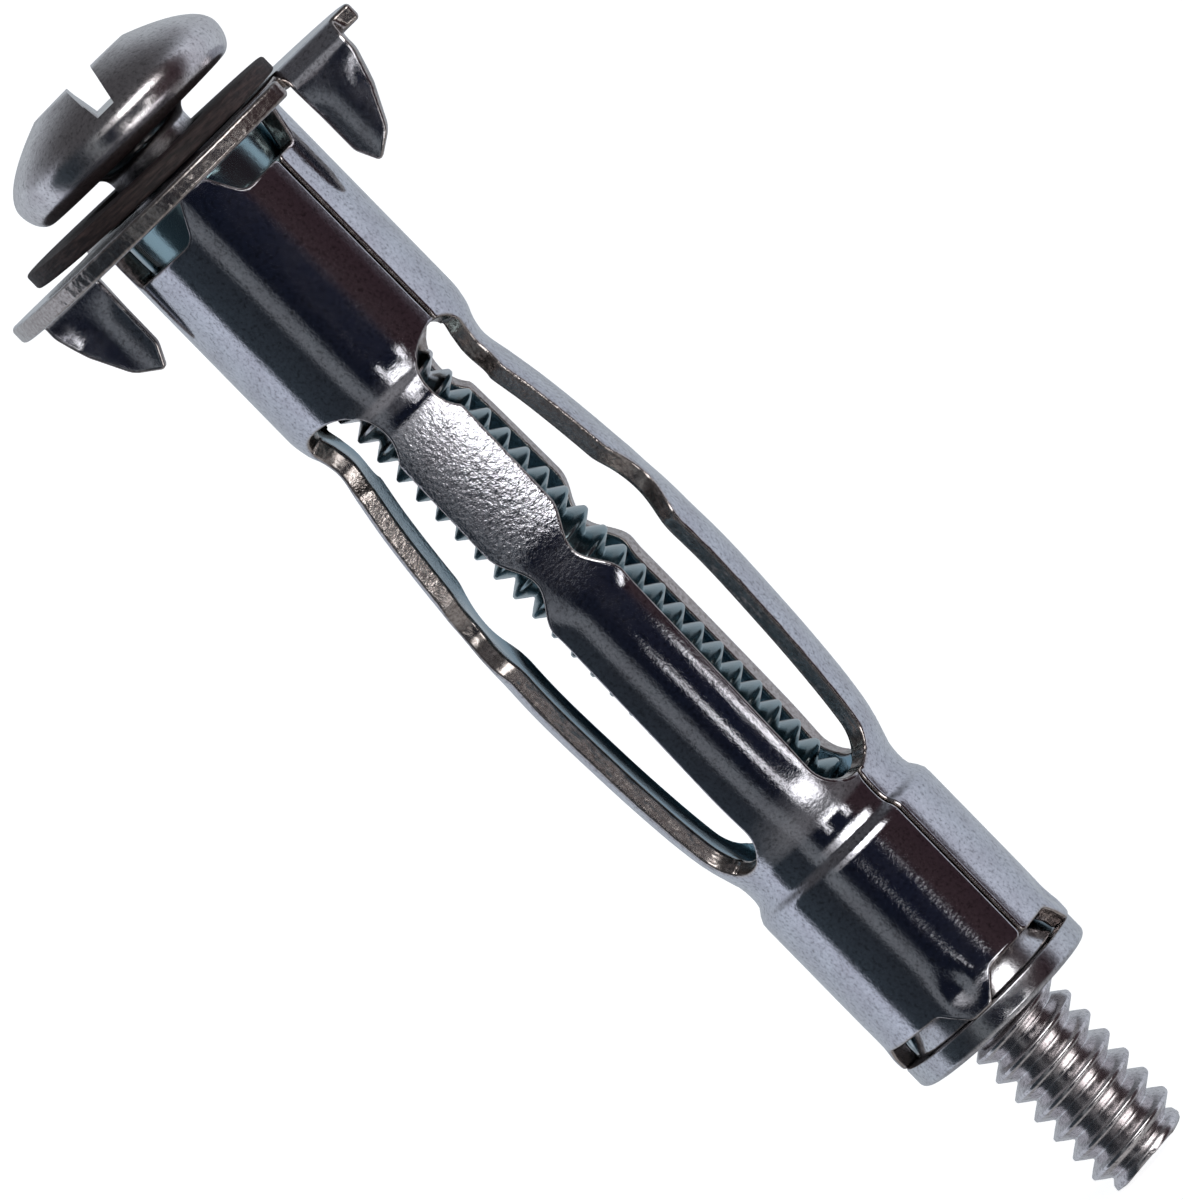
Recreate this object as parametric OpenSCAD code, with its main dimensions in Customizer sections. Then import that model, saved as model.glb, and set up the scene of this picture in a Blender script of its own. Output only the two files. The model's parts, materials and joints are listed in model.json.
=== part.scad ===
// Hollow wall anchor with its machine screw, as it comes before setting.
// Millimetres. The Z axis is the screw's axis, towards the head. Z = 0 is the wall's face,
// where the flange's underside rests. The sleeve and its four legs reach down through the wall.

/* [Screw] */
// Length from under the head to the tip
screw_length = 41.6; // [38:0.1:50]
// Outside diameter of the thread
thread_d = 3.36; // [3.2:0.02:3.4]
// Diameter at the bottom of the thread
thread_root_d = 2.48; // [2.3:0.02:2.7]
// Distance from crest to crest
thread_pitch = 0.79375; // [0.7:0.00125:0.9]
// Diameter of the plain shank under the head
shank_d = 2.98; // [2.7:0.02:3.1]
// Diameter of the head
head_d = 7.94; // [7:0.1:9]
// Height of the head
head_h = 2.49; // [2:0.05:3]
// Width of the driver slot
driver_slot_w = 0.92; // [0.7:0.02:1.2]
// Depth of the driver slot
driver_slot_depth = 1.15; // [0.8:0.05:1.4]
// Turn of the driver slot about the axis
driver_slot_turn = 98; // [0:1:180]

/* [Fibre washer] */
// Outside diameter of the washer
washer_d = 9.3; // [8.5:0.1:10]
// Hole in the washer
washer_hole_d = 4.5; // [4:0.1:5]
// Thickness of the washer
washer_t = 0.53; // [0.4:0.01:0.7]

/* [Flange] */
// Outside diameter of the flange
flange_d = 13.52; // [12.5:0.1:15]
// Thickness of the flange's sheet
flange_t = 0.58; // [0.4:0.02:0.7]
// How far the claws reach into the wall
claw_depth = 3.38; // [2.5:0.1:4]
// Angle of the disc that each claw is cut from
claw_sector = 47; // [35:1:55]

/* [Sleeve] */
// Outside diameter of the rolled sleeve
sleeve_d = 6.6; // [6.2:0.1:7]
// Thickness of the sleeve's sheet
sleeve_t = 0.6; // [0.45:0.05:0.7]
// Width of the open seam along the sleeve
seam_w = 0.3; // [0.1:0.05:0.5]
// Outside diameter over the bulge of the legs
bulge_d = 7.62; // [7.4:0.02:7.9]

/* [Hidden] */
$fn = 96;
eps = 0.01;
zinc = [0.66, 0.67, 0.70];
zinc_dark = [0.55, 0.56, 0.60];
fibre = [0.24, 0.14, 0.13];

// Screw
head_bottom = 1.93;
head_top = head_bottom + head_h;
head_rim_z = head_bottom + 0.84;
head_flat_r = 1.8;
head_seat_r = 3.42;
shank_fillet = 0.4;
shank_bottom = -0.45;
thread_top = -0.6;
tip_z = head_bottom - screw_length;
crest_flat = 0.12;
root_flat = 0.1;
tip_chamfer = 0.25;

// Flange: a disc with a short neck that centres it in the sleeve
recess_r = 3.6;
recess_depth = 0.05;
neck_r = 2.6;
neck_hole_r = 1.95;
neck_bottom = -1.6;
claw_bend_r = 0.25;
claw_bend_y = 0.54;
claw_inner_r = 3.95;
claw_outer_r = 6.1;
claw_tip_r = 4.4;
claw_shoulder = 0.4;
claw_point = 0.25;

// Sleeve: heights along the axis, from the flange to the tail
sleeve_r = sleeve_d / 2;
bulge_r = bulge_d / 2;
barrel_bottom = -8.2;
slot_head_z = -8.6;
slot_head_r = 1.05;
scallop_depth = 1.15;
scallop_half_w = 1.45;
scallop_reach = 2.1;
upper_top = -9.55;
upper_shoulder = -10.45;
upper_taper = -13.8;
upper_bottom = -14.0;
lower_top = -16.6;
lower_bottom = -24.4;
collar_top = -25.7;
groove_top = -25.9;
groove_bottom = -26.5;
groove_r = 3.0;
collar_bottom = -32.05;
tab_bottom = -32.75;
neck_w = 1.8;
upper_w = 2.63;
waist_w = 1.53;
lower_w = 2.8;
root_w = 3.1;

// Outside of a leg, as [radius, z] down each stretch of it
neck_outside = [[3.15, barrel_bottom], [2.9, -8.9], [2.94, upper_top]];
upper_outside = [[2.94, upper_top], [3.27, -11], [3.5, -13.1], [3.58, upper_bottom]];
waist_outside = [[3.58, upper_bottom], [3.68, -15], [3.77, lower_top]];
lower_outside = [
    [3.77, lower_top], [bulge_r, -17.5], [bulge_r, -18.6],
    [3.72, -20.7], [3.57, -22.9], [3.33, lower_bottom]
];
root_outside = [[3.33, lower_bottom], [3.1, collar_top]];

// Nut: a collar inside the sleeve's tail, with a disc that closes the end
nut_top = -26.75;
nut_r = 2.62;
nut_bore_r = 1.76;
nut_disc_top = -32.8;
nut_bottom = -33.6;
nut_disc_r = 3.25;

// The legs stand at the quarter turns, and the slots lie midway between them
leg_turn = [for (i = [0:3]) -90 + 90 * i];
slot_turn = [for (turn = leg_turn) turn + 45];

// ---- Helpers ----

// Points of an elliptic arc about a centre, in even steps of its parameter
function arc(centre, radii, from, to, steps = 8) =
    [for (i = [0:steps])
        let (a = from + (to - from) * i / steps)
        [centre[0] + radii[0] * cos(a), centre[1] + radii[1] * sin(a)]];

// A shape drawn as width against height, cut radially outwards through one side of the sleeve
module radial_cut(turn, reach = sleeve_r + 1) {
    rotate([0, 0, turn])
        rotate([90, 0, 90])
            linear_extrude(reach)
                children();
}

// A flat strip of the sleeve's sheet that follows the outside points [radius, z], at one leg
module flat_strip(turn, outside, width) {
    inside = [for (i = [len(outside) - 1:-1:0]) outside[i] - [sleeve_t, 0]];
    rotate([0, 0, turn])
        rotate([90, 0, 0])
            linear_extrude(width, center = true)
                polygon(concat(outside, inside));
}

// A curved strip of the sleeve's sheet that follows the outside points, at one leg
module curved_strip(turn, outside, width) {
    inside = [for (i = [len(outside) - 1:-1:0]) outside[i] - [sleeve_t, 0]];
    half_angle = asin(width / 2 / outside[0][0]) + 4;
    intersection() {
        rotate([0, 0, turn - half_angle])
            rotate_extrude(angle = 2 * half_angle)
                polygon(concat(outside, inside));
        radial_cut(turn, bulge_r + 1)
            translate([-width / 2, outside[len(outside) - 1][1] - 1])
                square([width, outside[0][1] - outside[len(outside) - 1][1] + 2]);
    }
}

// ---- Screw and washer ----

// Outline of the head: flat top, parabolic dome, rounded rim and flat seat
function head_outline() = concat(
    [[0, head_top]],
    [for (i = [0:10])
        let (rise = 1 - i / 10)
        [head_flat_r + (head_d / 2 - head_flat_r) * (1 - rise * rise),
         head_rim_z + (head_top - head_rim_z) * rise]],
    [for (i = [1:6])
        let (a = -90 * i / 6)
        [head_seat_r + (head_d / 2 - head_seat_r) * cos(a),
         head_rim_z + (head_rim_z - head_bottom) * sin(a)]],
    arc([shank_d / 2 + shank_fillet, head_bottom - shank_fillet],
        [shank_fillet, shank_fillet], 90, 180, 5)
);

// Outline of the thread, crest by crest, from under the shank to the tip
thread_turns = floor((thread_top - tip_z - tip_chamfer) / thread_pitch);
thread_points = [for (i = [0:thread_turns - 1])
    let (z = thread_top - thread_pitch * i)
    each [
        [thread_root_d / 2, z - root_flat / 2],
        [thread_d / 2, z - (thread_pitch - crest_flat) / 2],
        [thread_d / 2, z - (thread_pitch + crest_flat) / 2],
        [thread_root_d / 2, z - thread_pitch + root_flat / 2]
    ]];

module screw() {
    color(zinc)
        difference() {
            rotate_extrude()
                polygon(concat(
                    head_outline(),
                    [[shank_d / 2, shank_bottom]],
                    thread_points,
                    [[thread_root_d / 2, tip_z + tip_chamfer],
                     [thread_root_d / 2 - tip_chamfer, tip_z], [0, tip_z]]
                ));
            rotate([0, 0, driver_slot_turn])
                translate([-head_d, -driver_slot_w / 2, head_top - driver_slot_depth])
                    cube([2 * head_d, driver_slot_w, head_h]);
        }
}

module fibre_washer() {
    edge = washer_t / 4;
    color(fibre)
        rotate_extrude()
            translate([washer_hole_d / 2, flange_t])
                polygon(concat(
                    [[0, 0]],
                    arc([(washer_d - washer_hole_d) / 2 - edge, edge], [edge, edge], -90, 0, 4),
                    arc([(washer_d - washer_hole_d) / 2 - edge, washer_t - edge], [edge, edge], 0, 90, 4),
                    [[0, washer_t]]
                ));
}

// ---- Flange with its two claws ----

// Plan of the sector that a claw is cut from, beside its bend line
module claw_notch() {
    reach = flange_d;
    intersection() {
        difference() {
            circle(r = reach);
            circle(r = claw_inner_r - 0.15);
        }
        polygon([[0, claw_bend_y], [reach, claw_bend_y], [reach, -reach * tan(claw_sector)], [0, 0]]);
    }
}

// A claw: the bend along the flange's cut edge, and the pointed blade below it
module claw() {
    width = claw_outer_r - claw_inner_r;
    translate([claw_inner_r, claw_bend_y, -claw_bend_r])
        rotate([90, 0, 90])
            intersection() {
                linear_extrude(width)
                    difference() {
                        circle(r = claw_bend_r + flange_t);
                        circle(r = claw_bend_r);
                    }
                translate([-1, 0, 0])
                    cube([1 + eps, 1, width]);
            }
    blade = concat(
        [[claw_inner_r, -claw_bend_r + eps], [claw_outer_r, -claw_bend_r + eps]],
        arc([claw_tip_r, -claw_bend_r - claw_shoulder],
            [claw_outer_r - claw_tip_r, claw_depth - claw_bend_r - claw_shoulder], 0, -80, 7),
        [[claw_tip_r, -claw_depth], [claw_tip_r - claw_point / 2, -claw_depth + claw_point]]
    );
    translate([0, claw_bend_y - claw_bend_r, 0])
        rotate([90, 0, 0])
            linear_extrude(flange_t)
                polygon(blade);
}

module prong_flange() {
    color(zinc)
        union() {
            difference() {
                linear_extrude(flange_t)
                    difference() {
                        circle(d = flange_d);
                        circle(r = neck_hole_r);
                        claw_notch();
                        rotate(180)
                            claw_notch();
                    }
                translate([0, 0, -eps])
                    cylinder(r = recess_r, h = recess_depth + eps);
            }
            rotate_extrude()
                translate([neck_hole_r, neck_bottom])
                    square([neck_r - neck_hole_r, -neck_bottom + flange_t / 2]);
            claw();
            rotate([0, 0, 180])
                claw();
        }
}

// ---- Sleeve ----

// Outline of a scallop between two tabs: flat across the middle with sloping sides
module scallop(depth) {
    top = 0.1;
    polygon([
        [-scallop_reach, 1], [-scallop_reach, top], [-scallop_half_w, -depth],
        [scallop_half_w, -depth], [scallop_reach, top], [scallop_reach, 1]
    ]);
}

module sleeve_barrel() {
    color(zinc_dark)
        difference() {
            rotate_extrude()
                translate([sleeve_r - sleeve_t, barrel_bottom])
                    square([sleeve_t, recess_depth - barrel_bottom]);
            for (turn = slot_turn) {
                radial_cut(turn)
                    scallop(scallop_depth);
                radial_cut(turn)
                    translate([0, slot_head_z])
                        circle(r = slot_head_r);
            }
            radial_cut(slot_turn[0])
                translate([-seam_w / 2, barrel_bottom - 1])
                    square([seam_w, 2 - barrel_bottom]);
        }
}

// The narrow necks, which fold first when the nut is drawn up
module neck_bends() {
    color(zinc_dark)
        for (turn = leg_turn)
            flat_strip(turn, neck_outside, neck_w);
}

module leg_upper(turn) {
    color(zinc)
        intersection() {
            flat_strip(turn, upper_outside, upper_w);
            radial_cut(turn)
                polygon([
                    [-neck_w / 2, upper_top + eps], [neck_w / 2, upper_top + eps],
                    [upper_w / 2, upper_shoulder], [upper_w / 2, upper_taper],
                    [waist_w / 2, upper_bottom - eps], [-waist_w / 2, upper_bottom - eps],
                    [-upper_w / 2, upper_taper], [-upper_w / 2, upper_shoulder]
                ]);
        }
}

// The waist between a leg's two links, which folds to a sharp knee
module waist_bend(turn) {
    color(zinc_dark)
        flat_strip(turn, waist_outside, waist_w);
}

module leg_lower(turn) {
    color(zinc)
        curved_strip(turn, lower_outside, lower_w);
}

// The roots, where the legs join the collar at the ends of the slots
module root_bends() {
    color(zinc_dark)
        for (turn = leg_turn)
            curved_strip(turn, root_outside, root_w);
}

module sleeve_collar() {
    outside = [
        [groove_r + 0.1, collar_top], [groove_r, groove_top], [groove_r, groove_bottom],
        [sleeve_r, groove_bottom - 0.3], [sleeve_r, tab_bottom]
    ];
    inside = [for (i = [len(outside) - 1:-1:0]) outside[i] - [sleeve_t, 0]];
    color(zinc)
        difference() {
            rotate_extrude()
                polygon(concat(outside, inside));
            for (turn = slot_turn)
                radial_cut(turn)
                    translate([0, tab_bottom])
                        mirror([0, 1])
                            scallop(collar_bottom - tab_bottom);
        }
}

module nut() {
    corner = 0.25;
    color(zinc)
        rotate_extrude()
            polygon(concat(
                [[nut_bore_r, nut_top - 0.2], [nut_bore_r + 0.2, nut_top], [nut_r, nut_top],
                 [nut_r, nut_disc_top], [nut_disc_r, nut_disc_top]],
                arc([nut_disc_r - corner, nut_bottom + corner], [corner, corner], 0, -90, 4),
                [[nut_bore_r + 0.2, nut_bottom], [nut_bore_r, nut_bottom + 0.2]]
            ));
}

// ---- Nodes ----

screw();
fibre_washer();
prong_flange();
sleeve_barrel();
neck_bends();
leg_upper(leg_turn[0]);  // leg_upper_front
leg_upper(leg_turn[1]);  // leg_upper_right
leg_upper(leg_turn[2]);  // leg_upper_rear
leg_upper(leg_turn[3]);  // leg_upper_left
waist_bend(leg_turn[0]);  // waist_bend_front
waist_bend(leg_turn[1]);  // waist_bend_right
waist_bend(leg_turn[2]);  // waist_bend_rear
waist_bend(leg_turn[3]);  // waist_bend_left
leg_lower(leg_turn[0]);  // leg_lower_front
leg_lower(leg_turn[1]);  // leg_lower_right
leg_lower(leg_turn[2]);  // leg_lower_rear
leg_lower(leg_turn[3]);  // leg_lower_left
root_bends();
sleeve_collar();
nut();
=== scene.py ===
"""A hollow wall anchor with its screw, before it is set. Metres; +Z is the screw's axis, towards the head."""
import json
import math

import bmesh
import bpy
import numpy as np
from mathutils import Matrix, Quaternion, Vector
from mathutils.geometry import delaunay_2d_cdt


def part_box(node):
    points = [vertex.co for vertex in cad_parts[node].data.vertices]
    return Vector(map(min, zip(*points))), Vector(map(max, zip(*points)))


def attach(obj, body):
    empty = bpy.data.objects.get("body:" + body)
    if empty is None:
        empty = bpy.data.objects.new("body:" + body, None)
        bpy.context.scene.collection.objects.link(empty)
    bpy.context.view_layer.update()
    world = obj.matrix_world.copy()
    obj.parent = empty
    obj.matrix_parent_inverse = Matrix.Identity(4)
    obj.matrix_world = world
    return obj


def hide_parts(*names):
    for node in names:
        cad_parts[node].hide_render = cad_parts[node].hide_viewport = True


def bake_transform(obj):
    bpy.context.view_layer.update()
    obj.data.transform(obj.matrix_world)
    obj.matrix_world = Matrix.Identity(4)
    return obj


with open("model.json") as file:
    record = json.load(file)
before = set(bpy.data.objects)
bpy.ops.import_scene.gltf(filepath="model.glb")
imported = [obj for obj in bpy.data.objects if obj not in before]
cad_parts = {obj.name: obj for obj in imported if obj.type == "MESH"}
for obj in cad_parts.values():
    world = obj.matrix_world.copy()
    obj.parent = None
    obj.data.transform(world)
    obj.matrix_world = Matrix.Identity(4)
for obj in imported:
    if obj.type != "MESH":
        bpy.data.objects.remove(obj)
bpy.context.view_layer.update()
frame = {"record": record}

# ---- Sizes, in millimetres unless a name says otherwise ----

MM = 0.001
LEGS = {"front": -90, "right": 0, "rear": 90, "left": 180}
SEAM_TURN = -45

joints = {j["name"]: j for j in frame["record"]["behaviour"]["joints"]}
FLANGE_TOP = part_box("prong_flange")[1].z / MM
HEAD_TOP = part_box("screw")[1].z / MM
TIP_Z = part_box("screw")[0].z / MM
NUT_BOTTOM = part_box("nut")[0].z / MM
NECK_Z = joints["neck_fold_front"]["pos_m"][2] / MM
WAIST_Z = joints["waist_fold_front"]["pos_m"][2] / MM

# Screw
HEAD_H = 2.49
HEAD_BOTTOM = HEAD_TOP - HEAD_H
HEAD_R = 3.97
HEAD_FLAT_R = 1.8
HEAD_SEAT_R = 3.42
RIM_Z = HEAD_BOTTOM + 0.84
SLOT_W, SLOT_DEPTH, SLOT_TURN = 0.92, 1.15, 98
SHANK_R = 1.49
THREAD_R, ROOT_R, PITCH = 1.68, 1.24, 0.79375
THREAD_TOP = -0.6
THREAD_START = -40.5

# Fibre washer
WASHER_R, WASHER_HOLE_R, WASHER_T = 4.65, 2.25, 0.53

# Flange
FLANGE_R, FLANGE_T = 6.76, 0.58
BEND_Y, BEND_R = 0.54, 0.25
CLAW_IN, CLAW_OUT, CLAW_TIP, CLAW_LENGTH = 3.95, 6.1, 4.4, 3.98
CLAW_SECTOR = 47
NECK_BEND_R, NECK_BEND_AT = 0.2, 2.8
NECK_BOTTOM = -1.6

# Sleeve
SLEEVE_R, SHEET_T = 3.3, 0.6
QUARTER = math.pi / 2 * SLEEVE_R
SEAM_GAP = 0.08
SEAM_SHIFT = 0.35
BARREL_CUT = -8.0
UPPER_CUT = -11.8
ROOT_Z = -25.2
SLOT_HEAD = (1.65, 1.4)
UPPER_W, LOWER_W, WAIST_W = 2.6, 2.88, 1.5
SLOT_BOTTOM = -25.4
SCALLOP_DEPTH = 1.15
TAB_BASE, TAB_END = 1.12, 0.48
COLLAR_END, TAB_TIP = -32.06, -32.85

# Nut
NUT_TOP, NUT_R, NUT_BORE_R = -26.75, 2.62, 1.8
DISC_TOP, DISC_R = -32.82, 3.25


# ---- Outlines and curves ----

def smooth_curve(keys):
    """A smooth function through (place, value) keys, level beyond the ends, with no overshoot."""
    x, y = (np.array(c, float) for c in zip(*sorted(keys)))
    h = np.diff(x)
    slope = np.diff(y) / h
    m = np.zeros_like(y)
    same = slope[:-1] * slope[1:] > 0
    m[1:-1][same] = 2 * slope[:-1][same] * slope[1:][same] / (slope[:-1][same] + slope[1:][same])

    def value(at):
        at = np.clip(np.asarray(at, float), x[0], x[-1])
        i = np.clip(np.searchsorted(x, at) - 1, 0, len(h) - 1)
        t = (at - x[i]) / h[i]
        return (y[i] * (1 + 2 * t) * (1 - t) ** 2 + m[i] * h[i] * t * (1 - t) ** 2
                + y[i + 1] * t * t * (3 - 2 * t) - m[i + 1] * h[i] * t * t * (1 - t))

    return value


def rounded(corners, step):
    """A closed outline through corners (x, y, radius), each rounded, with a point about every step."""
    stops = []
    for i, (x, y, radius) in enumerate(corners):
        here = Vector((x, y))
        back = Vector(corners[i - 1][:2]) - here
        on = Vector(corners[(i + 1) % len(corners)][:2]) - here
        half = back.angle(on) / 2
        if radius <= 0 or half > math.radians(88):
            stops.append(here)
            continue
        reach = min(radius / math.tan(half), 0.48 * back.length, 0.48 * on.length)
        radius = reach * math.tan(half)
        first, last = here + back.normalized() * reach, here + on.normalized() * reach
        centre = here + (back.normalized() + on.normalized()).normalized() * radius / math.sin(half)
        sweep = math.pi - 2 * half
        count = max(3, math.ceil(radius * sweep / (0.6 * step)))
        a, b = first - centre, last - centre
        for k in range(count + 1):
            t = k / count
            weight_a = math.sin((1 - t) * sweep) / math.sin(sweep)
            weight_b = math.sin(t * sweep) / math.sin(sweep)
            stops.append(centre + a * weight_a + b * weight_b)
    points = []
    for i, p in enumerate(stops):
        q = stops[(i + 1) % len(stops)]
        pieces = max(1, round((q - p).length / step))
        points += [p.lerp(q, k / pieces) for k in range(pieces)]
    return np.array(points)


def stretch(points, keep):
    """The part of a closed outline that keep holds for, in order."""
    start = next(i for i in range(len(points)) if keep(points[i]) and not keep(points[i - 1]))
    return [tuple(p) for p in np.roll(points, -start, axis=0) if keep(p)]


def circle_points(radius, step, clockwise=False):
    count = max(24, round(2 * math.pi * radius / step))
    a = np.arange(count) / count * 2 * math.pi * (-1 if clockwise else 1)
    return np.c_[radius * np.cos(a), radius * np.sin(a)]


def inside(points, loops):
    """Which points lie in the region that the loops bound."""
    hit = np.zeros(len(points), bool)
    for loop in loops:
        a, b = loop, np.roll(loop, -1, axis=0)
        for (x0, y0), (x1, y1) in zip(a, b):
            if y0 == y1:
                continue
            crosses = (points[:, 1] < y0) != (points[:, 1] < y1)
            at = x0 + (points[:, 1] - y0) / (y1 - y0) * (x1 - x0)
            hit ^= crosses & (points[:, 0] < at)
    return hit


# ---- Pieces ----

def make_object(name, verts, faces, flat=(), marks=None, normals=None):
    """A mesh object from points in millimetres. marks are named numbers for each point, for the materials.
    normals gives each point's normal, and the flat faces keep their own."""
    mesh = bpy.data.meshes.new(name)
    mesh.from_pydata([tuple(v) for v in np.asarray(verts) * MM], [], faces)
    for key, values in (marks or {}).items():
        mesh.attributes.new(key, "FLOAT", "POINT").data.foreach_set("value", np.array(values, np.float32))
    if normals is not None:
        stored = mesh.attributes.new("shape_normal", "FLOAT_VECTOR", "POINT")
        stored.data.foreach_set("vector", np.asarray(normals, np.float32).ravel())
    smooth = np.ones(len(mesh.polygons), bool)
    smooth[list(flat)] = False
    mesh.polygons.foreach_set("use_smooth", smooth)
    bm = bmesh.new()
    bm.from_mesh(mesh)
    bmesh.ops.remove_doubles(bm, verts=bm.verts, dist=1e-7)
    bmesh.ops.dissolve_degenerate(bm, edges=bm.edges, dist=1e-8)
    bmesh.ops.recalc_face_normals(bm, faces=bm.faces)
    bm.to_mesh(mesh)
    bm.free()
    if normals is not None:
        by_vertex = np.zeros(len(mesh.vertices) * 3, np.float32)
        mesh.attributes["shape_normal"].data.foreach_get("vector", by_vertex)
        by_vertex = by_vertex.reshape(-1, 3)
        by_loop = []
        for face in mesh.polygons:
            for v in face.vertices:
                by_loop.append(by_vertex[v] if face.use_smooth else face.normal)
        mesh.attributes.remove(mesh.attributes["shape_normal"])
        mesh.normals_split_custom_set([tuple(n) for n in by_loop])
    mesh.update()
    made = bpy.data.objects.new(name, mesh)
    bpy.context.scene.collection.objects.link(made)
    return made


def unit(vectors):
    return vectors / np.maximum(np.linalg.norm(vectors, axis=1), 1e-12)[:, None]


def plate(name, loops, wrap, thickness, edge=0.12, spacing=0.24, cuts=()):
    """A piece of sheet metal. loops bound its flat blank, the first one anticlockwise and the holes
    clockwise. wrap(x, y, depth) carries the blank to its formed shape. Its edges are rounded, but not along
    the heights in cuts, where it meets the next piece."""
    levels = [math.radians(a) for a in (0, 25, 50, 75, 90)]
    rim_share = [0, 0.35, 1, 1, 1]
    tops, spans, cap_faces, strips = [], [], [], []
    columns = {key: [] for key in ("blank", "depth", "inward", "up", "out", "mark")}
    start = 0
    for loop in loops:
        count = len(loop)
        before, after = np.roll(loop, 1, axis=0), np.roll(loop, -1, axis=0)
        along = after - before
        inward = unit(np.c_[-along[:, 1], along[:, 0]])
        on_cut = np.array([next((c for c in cuts if abs(y - c) < 1e-6), np.nan) for y in loop[:, 1]])
        next_cut = on_cut == np.roll(on_cut, -1)
        last_cut = np.roll(next_cut, 1)
        size = np.where(next_cut & last_cut, 0.0, edge)
        inward = np.where((next_cut & ~last_cut)[:, None], unit(after - loop), inward)
        inward = np.where((last_cut & ~next_cut)[:, None], unit(before - loop), inward)
        first_ring = len(columns["blank"])
        for side in (1, -1):
            for a, share in list(zip(levels, rim_share))[::side]:
                deep = size * (1 - math.cos(a))
                columns["blank"].append(loop + inward * (size * (1 - math.sin(a)))[:, None])
                columns["depth"].append(deep if side > 0 else thickness - deep)
                columns["inward"].append(inward)
                columns["up"].append(np.where(size > 0, side * math.cos(a), side))
                columns["out"].append(np.where(size > 0, math.sin(a), 0))
                columns["mark"].append(np.where(size > 0, share, 0))
        tops.append(columns["blank"][first_ring])
        rings = 2 * len(levels)
        spans.append((start, start + (rings - 1) * count, count))
        for r in range(rings - 1):
            for i in range(count):
                j = (i + 1) % count
                a, b = start + r * count, start + (r + 1) * count
                if next_cut[i]:
                    cap_faces.append(len(strips))
                strips.append((a + i, a + j, b + j, b + i))
        start += rings * count
    low_corner, high_corner = np.min(tops[0], axis=0), np.max(tops[0], axis=0)
    grid = np.array([(x + (k % 2) * spacing / 2, y)
                     for k, y in enumerate(np.arange(low_corner[1], high_corner[1], spacing * 0.866))
                     for x in np.arange(low_corner[0], high_corner[0], spacing)])
    grid = grid[inside(grid, tops)]
    rim = np.vstack(tops)
    grid = grid[[((rim - p) ** 2).sum(1).min() > (0.55 * spacing) ** 2 for p in grid]]
    flat_points = np.vstack([rim, grid])
    edges, first = [], 0
    for _, _, count in spans:
        edges += [(first + i, first + (i + 1) % count) for i in range(count)]
        first += count
    found = delaunay_2d_cdt([Vector(p) for p in flat_points], edges, [], 0, 1e-7)
    if not all(found[3]):
        places = [tuple(p) for p, ids in zip(found[0], found[3]) if not ids]
        raise ValueError(f"the outline of {name} crosses itself at {places[:4]}")
    triangles = np.array([[found[3][v][0] for v in f] for f in found[2]])
    triangles = triangles[inside(flat_points[triangles].mean(1), tops)]
    top_ids = [low + i for low, _, count in spans for i in range(count)]
    top_ids += [start + i for i in range(len(grid))]
    bottom_ids = [high + i for _, high, count in spans for i in range(count)]
    bottom_ids += [start + len(grid) + i for i in range(len(grid))]
    none = np.zeros(len(grid))
    blank = np.vstack(columns["blank"] + [grid, grid])
    depth = np.concatenate(columns["depth"] + [none, none + thickness])
    inward = np.vstack(columns["inward"] + [np.c_[none, none]] * 2)
    up = np.concatenate(columns["up"] + [none + 1, none - 1])
    out = np.concatenate(columns["out"] + [none, none])
    mark = np.concatenate(columns["mark"] + [none, none])
    faces = strips + [tuple(top_ids[v] for v in t) for t in triangles]
    faces += [tuple(bottom_ids[v] for v in t[::-1]) for t in triangles]
    x, y, step = blank[:, 0], blank[:, 1], 1e-3
    along_x = wrap(x + step, y, depth) - wrap(x - step, y, depth)
    along_y = wrap(x, y + step, depth) - wrap(x, y - step, depth)
    deeper = wrap(x, y, depth + step) - wrap(x, y, depth - step)
    top_normal = unit(np.cross(along_x, along_y))
    top_normal *= -np.sign((top_normal * deeper).sum(1))[:, None]
    edge_normal = unit(-inward[:, :1] * along_x - inward[:, 1:] * along_y)
    normals = unit(top_normal * up[:, None] + edge_normal * out[:, None])
    marks = {"cut_edge": mark, "inside": np.clip(depth / thickness * 2 - 0.8, 0, 1)}
    return make_object(name, wrap(x, y, depth), faces, cap_faces, marks, normals)


def lathe(name, outline, segments=128):
    """A turned piece from points [radius, z] along its closed outline."""
    a = np.arange(segments) / segments * 2 * math.pi
    verts = [(r * math.cos(t), r * math.sin(t), z) for r, z in outline for t in a]
    faces = []
    rows = len(outline)
    for k in range(rows):
        low, high = k * segments, (k + 1) % rows * segments
        for i in range(segments):
            j = (i + 1) % segments
            faces.append((low + i, low + j, high + j, high + i))
    return make_object(name, verts, faces)


def arc(centre, radii, start, stop, steps=8):
    """Points of an elliptic arc, between two angles in degrees."""
    turn = [math.radians(start + (stop - start) * k / steps) for k in range(steps + 1)]
    return [(centre[0] + radii[0] * math.cos(t), centre[1] + radii[1] * math.sin(t)) for t in turn]


def join(name, *parts):
    """One object from several."""
    bm = bmesh.new()
    for part in parts:
        bm.from_mesh(part.data)
        bpy.data.objects.remove(part)
    mesh = bpy.data.meshes.new(name)
    bm.to_mesh(mesh)
    bm.free()
    made = bpy.data.objects.new(name, mesh)
    bpy.context.scene.collection.objects.link(made)
    return made


# ---- Shape of the sleeve ----

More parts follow.
